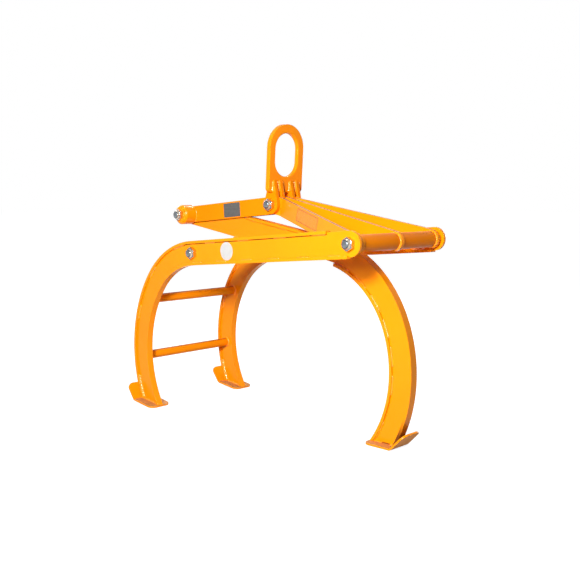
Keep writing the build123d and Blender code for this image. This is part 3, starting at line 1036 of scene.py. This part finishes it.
# Grey plate on the left link
PLATE_PLACE = 0.1975
PLATE_WIDTH = 0.0723
PLATE_HEIGHT = 0.0418
PLATE_CORNER = 0.0015
PLATE_THICKNESS = 0.0008
PLATE_EDGE = 0.0002
link_along = direction(left_link_tilt)
link_up = direction(90 + left_link_tilt)
plate_centre = left_pivot + link_along * PLATE_PLACE + ACROSS * face_of("left_link_front_plate", -1)
plate_shape = sheet(plate_centre, link_along, link_up, PLATE_WIDTH, PLATE_HEIGHT,
                    PLATE_CORNER, PLATE_THICKNESS, PLATE_EDGE)
add_piece("grey_plate", plate_shape, grey_plate(), "left_link")

# White disc on the front bar, made of four corners with a very short straight stretch between them
DISC_PLACE = 0.4415
DISC_SIZE = 0.0505
DISC_STRAIGHT = 0.0001
DISC_THICKNESS = 0.0003
DISC_EDGE = 0.0001
disc_centre = right_pivot + left_along * DISC_PLACE + ACROSS * face_of("left_front_web", -1)
disc_shape = sheet(disc_centre, -left_along, left_out, DISC_SIZE, DISC_SIZE,
                   DISC_SIZE / 2 - DISC_STRAIGHT, DISC_THICKNESS, DISC_EDGE)
add_piece("white_disc", disc_shape, white_vinyl(), "left_tong")

# Clear film with an outline on the front plate of the fan, which splays out from the eye
FAN_START = 0.031
FAN_END = 0.377
FILM_PLACE = 0.162
FILM_RISE = 0.003
FILM_WIDTH = 0.124
FILM_HEIGHT = 0.038
FILM_CORNER = 0.003
FILM_THICKNESS = 0.0002
FILM_EDGE = 0.0001
OUTLINE_INSET = 0.002
OUTLINE_WIDTH = 0.0016
OUTLINE_THICKNESS = 0.0001
right_link_tilt = tilt(eye_pivot, right_pivot)
right_link_along = direction(right_link_tilt)
fan_start_middle = face_of("right_link_front_plate", 1) - FAN_THICKNESS / 2
fan_end_middle = face_of("right_link_front_plate", -1) + FAN_THICKNESS / 2
fan_first = eye_pivot + right_link_along * FAN_START + ACROSS * fan_start_middle
fan_last = eye_pivot + right_link_along * FAN_END + ACROSS * fan_end_middle
fan_along = (fan_last - fan_first).normalized()
fan_up = direction(90 + right_link_tilt)
film_normal = fan_along.cross(fan_up).normalized()
film_centre = fan_first + fan_along * FILM_PLACE + fan_up * FILM_RISE + film_normal * FAN_THICKNESS / 2
film_shape = sheet(film_centre, fan_along, fan_up, FILM_WIDTH, FILM_HEIGHT,
                   FILM_CORNER, FILM_THICKNESS, FILM_EDGE)
add_piece("clear_film", film_shape, clear_film(), "right_link")
line_centre = film_centre + film_normal * FILM_THICKNESS
line_shape = frame_line(line_centre, fan_along, fan_up, FILM_WIDTH - 2 * OUTLINE_INSET,
                        FILM_HEIGHT - 2 * OUTLINE_INSET, FILM_CORNER, OUTLINE_WIDTH, OUTLINE_THICKNESS)
add_piece("film_outline", line_shape, film_line(), "right_link")

# Pale floor that stays white to the camera and keeps the shadow
FLOOR_SIZE = 60.0
FLOOR_DROP = 0.0005
FLOOR_GLOW_NEAR = 0.90
FLOOR_GLOW_FAR = 1.0
FLOOR_NEAR = 0.7
FLOOR_FAR = 2.2


def floor_material():
    tree = Tree("floor")
    place = tree.place()
    tone = tree.clouds(place, FLOOR_LIGHT, FLOOR_DARK, scale=300.0, detail=3.0, roughness=0.5)[1]
    diffuse = tree.add("ShaderNodeBsdfDiffuse")
    tree.join(tone, diffuse.inputs["Color"])
    distance = tree.add("ShaderNodeVectorMath", operation="LENGTH")
    tree.join(place, distance.inputs[0])
    reach = tree.spread(distance.outputs["Value"], FLOOR_GLOW_NEAR, FLOOR_GLOW_FAR, FLOOR_NEAR, FLOOR_FAR)
    glow = tree.add("ShaderNodeEmission")
    tree.join(tree.maths("MULTIPLY", tree.seen(), reach), glow.inputs["Strength"])
    both = tree.add("ShaderNodeAddShader")
    tree.join(diffuse.outputs[0], both.inputs[0])
    tree.join(glow.outputs[0], both.inputs[1])
    tree.join(both.outputs[0], tree.output.inputs["Surface"])
    return tree.owner


floor_mesh = bpy.data.meshes.new("floor")
half = FLOOR_SIZE / 2
corners = [(-half, -half, 0), (half, -half, 0), (half, half, 0), (-half, half, 0)]
floor_mesh.from_pydata(corners, [], [(0, 1, 2, 3)])
floor_mesh.materials.append(floor_material())
floor = bpy.data.objects.new("floor", floor_mesh)
floor.location.z = -FLOOR_DROP
scene.collection.objects.link(floor)

# World: white where it is seen, and a faint light elsewhere
WORLD_LIGHT = 0.02
WORLD_COLOUR = (1.0, 1.0, 1.0)
world_tree = Tree("world", bpy.data.worlds, "ShaderNodeOutputWorld")
sky = world_tree.add("ShaderNodeBackground")
world_tree.feed(sky.inputs["Color"], WORLD_COLOUR)
sky_level = world_tree.spread(world_tree.seen(), low=WORLD_LIGHT, high=1.0, start=0.0, end=1.0)
world_tree.join(sky_level, sky.inputs["Strength"])
world_tree.join(sky.outputs["Background"], world_tree.output.inputs["Surface"])
scene.world = world_tree.owner

# Square lamps that look at one target, in degrees, metres and watts
LAMP_TARGET = Vector((0.0, 0.0, 0.4))
Lamp = namedtuple("Lamp", "name azimuth elevation distance side power")
LAMPS = (
    Lamp("key", azimuth=30.0, elevation=21.0, distance=3.2, side=0.4, power=95.0),
    Lamp("side", azimuth=28.0, elevation=18.0, distance=1.9, side=0.6, power=25.0),
    Lamp("top", azimuth=200.0, elevation=70.0, distance=2.0, side=0.20, power=4.0),
    Lamp("back", azimuth=255.0, elevation=25.0, distance=2.8, side=1.2, power=36.0),
    Lamp("rear", azimuth=178.0, elevation=12.0, distance=3.0, side=0.9, power=40.0),
    Lamp("glint_left", azimuth=278.0, elevation=51.0, distance=2.5, side=0.1, power=5.0),
    Lamp("glint_rear", azimuth=215.0, elevation=48.0, distance=2.4, side=0.1, power=6.0),
)


def add_lamp(lamp):
    # The azimuth counts from -Y towards +X
    view = -aim(lamp.azimuth - 90.0, lamp.elevation)
    light = bpy.data.lights.new(lamp.name, "AREA")
    light.shape = "SQUARE"
    light.size = lamp.side
    light.energy = lamp.power
    holder = bpy.data.objects.new(lamp.name, light)
    holder.location = LAMP_TARGET - view * lamp.distance
    look_along(holder, view)
    scene.collection.objects.link(holder)


for lamp in LAMPS:
    add_lamp(lamp)
